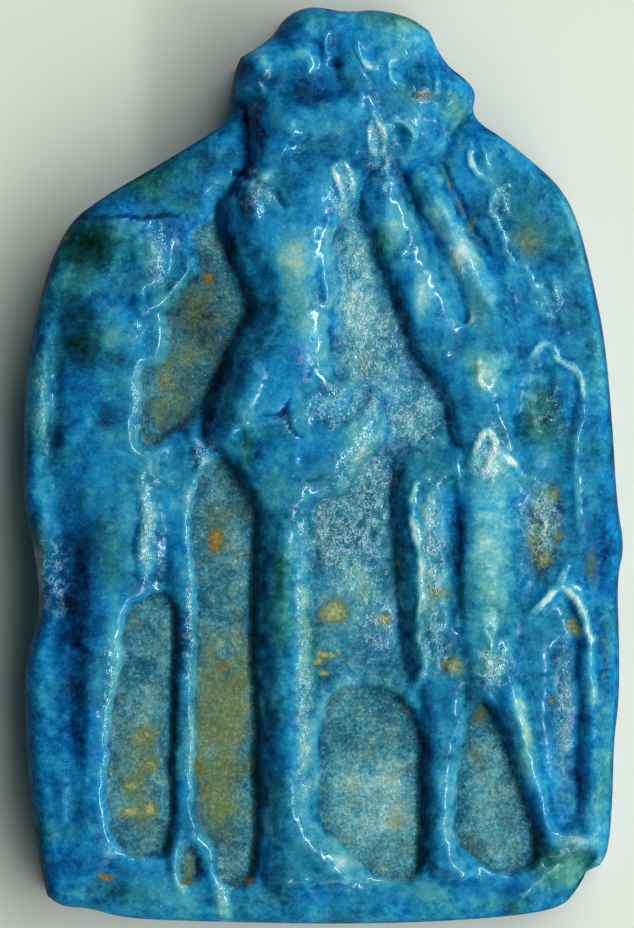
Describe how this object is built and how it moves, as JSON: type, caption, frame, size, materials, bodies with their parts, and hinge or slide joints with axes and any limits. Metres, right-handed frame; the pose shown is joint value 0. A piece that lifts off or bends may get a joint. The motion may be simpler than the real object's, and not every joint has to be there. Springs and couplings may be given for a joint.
{
  "type": "relief plaque",
  "caption": "Small turquoise-glazed plaque with three worn figures in relief, the middle head rising above its rounded shoulders.",
  "frame": {"origin": "centre of the bounding box on the flat back, at z = 0", "axes": "+Z out of the carved face, +Y towards the top of the plaque, +X to the right as the carved face is seen"},
  "size_m": [0.0276, 0.042, 0.0075],
  "materials": {
    "glaze": "worn turquoise and cobalt glaze over a sandy body, glossy on the relief and granular in the sunk areas"
  },
  "bodies": {
    "root": {"plaque": "glaze"}
  },
  "joints": []
}
